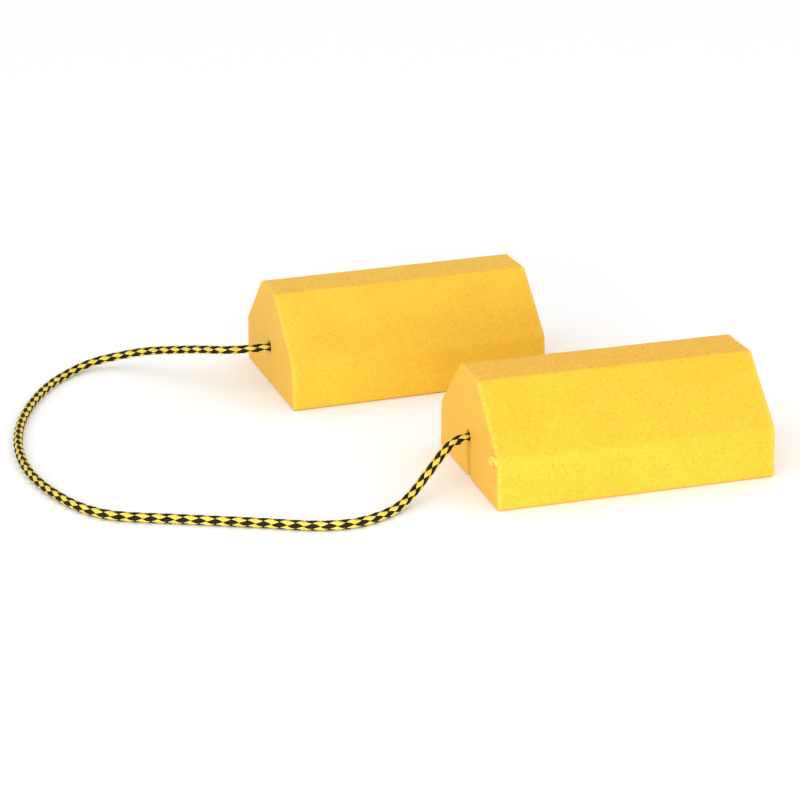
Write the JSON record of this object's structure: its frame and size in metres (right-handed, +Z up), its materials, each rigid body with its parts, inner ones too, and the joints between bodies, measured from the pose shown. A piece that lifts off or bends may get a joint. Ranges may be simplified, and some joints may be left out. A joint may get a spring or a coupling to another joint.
{
  "type": "wheel chock pair",
  "caption": "Pair of solid trapezoidal wheel chocks joined by a braided rope that runs through each and is held by a knot sunk in its far end.",
  "frame": {"origin": "middle of the front chock's base, on the ground", "axes": "+X along the front chock, away from the rope; +Y from the front chock to the rear one; +Z up"},
  "size_m": [0.7528, 0.563, 0.117],
  "materials": {
    "chock_plastic": "matt cast polyurethane with a faint grain",
    "rope_braid": "braided black and yellow synthetic strands",
    "sealed_tip": "melted rope fibre"
  },
  "bodies": {
    "front_chock": {"front_chock_body": "chock_plastic", "front_rope_tail": "rope_braid", "front_stopper_knot": "rope_braid", "front_rope_end": "sealed_tip"},
    "rope_front": {"rope_front_run": "rope_braid"},
    "rope_rear": {"rope_rear_run": "rope_braid"},
    "rear_chock": {"rear_chock_body": "chock_plastic", "rear_rope_tail": "rope_braid", "rear_stopper_knot": "rope_braid", "rear_rope_end": "sealed_tip"}
  },
  "joints": [
    {"name": "front_rope_swing", "type": "hinge", "parent": "front_chock", "child": "rope_front", "pos_m": [-0.1495, 0, 0.045], "axis": [0, 0, -1], "range_deg": [-18, 10]},
    {"name": "rope_bend", "type": "hinge", "parent": "rope_front", "child": "rope_rear", "pos_m": [-0.595, 0.185, 0.005], "axis": [0, 0, 1], "range_deg": [-5, 25]},
    {"name": "rear_chock_swing", "type": "hinge", "parent": "rope_rear", "child": "rear_chock", "pos_m": [-0.28041, 0.34478, 0.045], "axis": [0, 0, -1], "range_deg": [-20, 10]}
  ]
}
